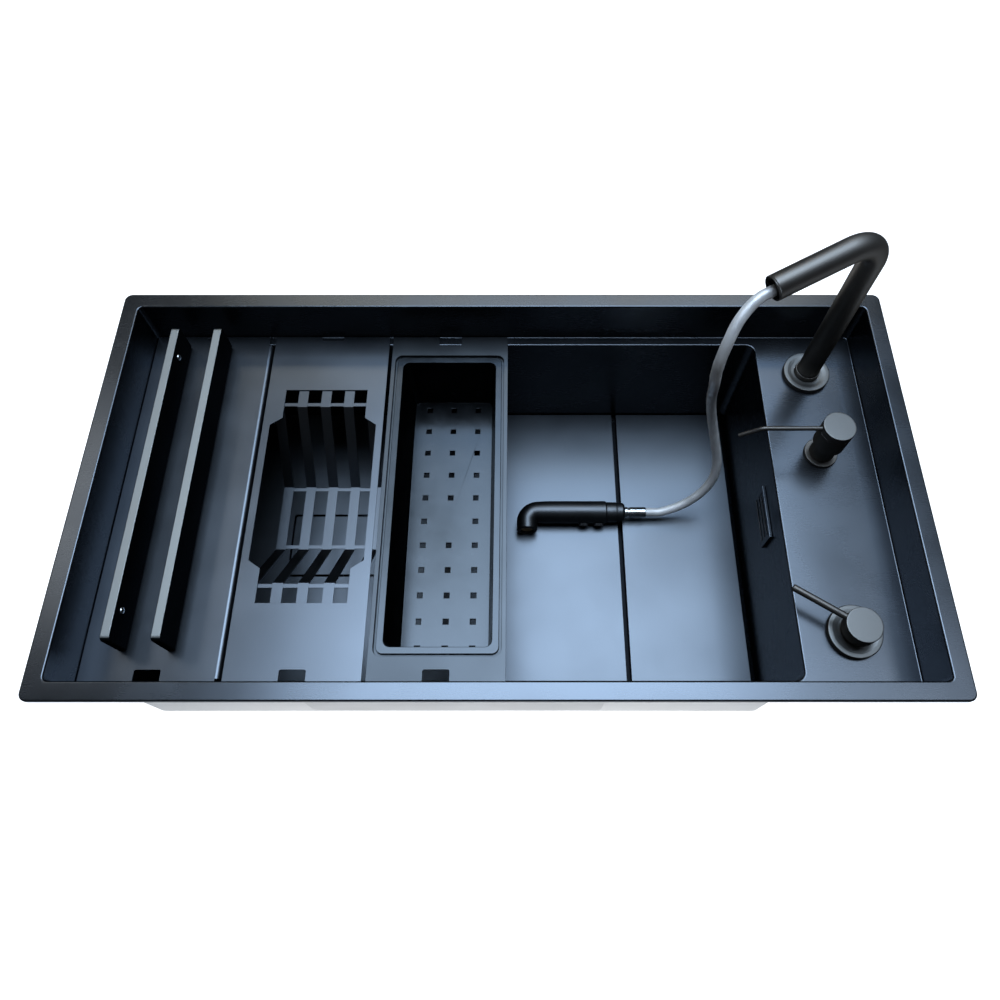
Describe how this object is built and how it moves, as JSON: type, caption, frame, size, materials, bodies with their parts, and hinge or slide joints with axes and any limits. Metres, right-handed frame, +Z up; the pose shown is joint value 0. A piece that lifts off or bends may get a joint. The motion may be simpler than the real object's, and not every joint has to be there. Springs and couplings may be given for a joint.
{
  "type": "workstation kitchen sink",
  "caption": "Top-mount kitchen sink with a stepped bowl, ledge accessories, pull-out tap, single-lever mixer, soap dispenser and a drain under loose floor plates.",
  "frame": {"origin": "middle of the worktop plane on which the rim's turned-down lip rests", "axes": "+X along the sink towards the tap deck, +Y towards the back, +Z up"},
  "size_m": [0.85, 0.45, 0.5394],
  "materials": {
    "black_steel": "black-coated steel with a fine satin grain",
    "black_metal": "satin black coating",
    "stainless": "bright stainless steel",
    "steel_braid": "braided steel wire",
    "bronze_mesh": "fine dull mesh",
    "black_plastic": "matte black",
    "tray_plastic": "smooth dark plastic",
    "divider_metal": "satin grey coating",
    "grey_plastic": "matte grey",
    "white_plastic": "smooth white",
    "rubber": "matte black rubber",
    "pad_rubber": "dense grey damping rubber"
  },
  "bodies": {
    "root": {"sink_shell": "black_steel", "rim_seal": "rubber", "rim_clip_back_left": "stainless", "rim_clip_back_right": "stainless", "rim_clip_left": "stainless", "rim_clip_right": "stainless", "sound_pad_back": "pad_rubber", "sound_pad_front": "pad_rubber", "drain_flange": "stainless", "drain_gasket": "rubber", "drain_nut": "grey_plastic", "drain_tailpiece": "white_plastic", "strainer_basket": "stainless", "overflow_cover": "black_steel", "overflow_box": "black_plastic", "overflow_pipe": "grey_plastic", "floor_plate_right": "black_steel", "floor_plate_left": "black_steel", "faucet_flange": "black_metal", "faucet_collar": "black_metal", "faucet_shank": "stainless", "faucet_nut": "grey_plastic", "pullout_hose": "steel_braid", "hose_ferrule": "stainless", "spray_body": "black_metal", "spray_neck": "black_metal", "aerator_ring": "black_plastic", "aerator_mesh": "bronze_mesh", "dispenser_ring": "black_metal", "dispenser_nut": "grey_plastic", "pump_collar": "black_metal", "soap_bottle": "white_plastic", "mixer_flange": "black_metal", "mixer_collar": "black_metal", "mixer_shank": "stainless", "mixer_nut": "grey_plastic", "hot_inlet": "stainless", "cold_inlet": "stainless"},
    "spout": {"spout_tube": "black_metal", "inner_hose": "steel_braid"},
    "mixer_stem": {"mixer_spindle": "stainless"},
    "mixer_handle": {"mixer_cap": "black_metal", "mixer_lever": "black_metal"},
    "pump_sleeve": {"pump_guide": "white_plastic", "dip_tube": "white_plastic"},
    "pump_head": {"pump_cap": "black_metal", "pump_spout": "black_metal", "pump_stem": "white_plastic"},
    "left_button": {"spray_button_left": "black_plastic"},
    "right_button": {"spray_button_right": "black_plastic"},
    "board_stand": {"board_stand_panel": "black_steel", "board_divider_left": "divider_metal", "board_divider_right": "divider_metal", "divider_stud_front": "stainless", "divider_stud_back": "stainless"},
    "knife_rack": {"knife_rack_panel": "black_steel", "knife_rack_basket": "black_steel"},
    "colander_carrier": {"colander_frame": "black_steel"},
    "colander_tray": {"colander": "tray_plastic"},
    "drain_lid": {"drain_cover": "black_steel"}
  },
  "joints": [
    {"name": "spout_swivel", "type": "hinge", "parent": "root", "child": "spout", "pos_m": [0.349, 0.1545, 0], "axis": [0, 0, 1], "range_deg": [-40, 45]},
    {"name": "mixer_turn", "type": "hinge", "parent": "root", "child": "mixer_stem", "pos_m": [0.349, -0.1485, -0.0385], "axis": [0, 0, 1], "range_deg": [-45, 45]},
    {"name": "mixer_lift", "type": "hinge", "parent": "mixer_stem", "child": "mixer_handle", "pos_m": [0.349, -0.1485, -0.0385], "axis": [0.5344, 0.8453, 0], "range_deg": [0, 20]},
    {"name": "pump_turn", "type": "hinge", "parent": "root", "child": "pump_sleeve", "pos_m": [0.349, 0.051, 0], "axis": [0, 0, 1], "range_deg": [-60, 60]},
    {"name": "pump_press", "type": "slide", "parent": "pump_sleeve", "child": "pump_head", "axis": [0, 0, -1], "range_m": [0, 0.012], "stiffness_N_per_m": 300, "springref_m": -0.02},
    {"name": "left_button_press", "type": "slide", "parent": "root", "child": "left_button", "axis": [0, 0.8988, 0.4384], "range_m": [0, 0.0015], "stiffness_N_per_m": 800, "springref_m": -0.002},
    {"name": "right_button_press", "type": "slide", "parent": "root", "child": "right_button", "axis": [0, 0.8988, 0.4384], "range_m": [0, 0.0015], "stiffness_N_per_m": 800, "springref_m": -0.002},
    {"name": "board_stand_lift", "type": "slide", "parent": "root", "child": "board_stand", "axis": [0, 0, 1], "range_m": [0, 0.12]},
    {"name": "knife_rack_lift", "type": "slide", "parent": "root", "child": "knife_rack", "axis": [0, 0, 1], "range_m": [0, 0.15]},
    {"name": "colander_frame_slide", "type": "slide", "parent": "root", "child": "colander_carrier", "axis": [1, 0, 0], "range_m": [0, 0.18]},
    {"name": "colander_lift", "type": "slide", "parent": "colander_carrier", "child": "colander_tray", "axis": [0, 0, 1], "range_m": [0, 0.12]},
    {"name": "drain_cover_lift", "type": "slide", "parent": "root", "child": "drain_lid", "axis": [0, 0, 1], "range_m": [0, 0.06]}
  ]
}
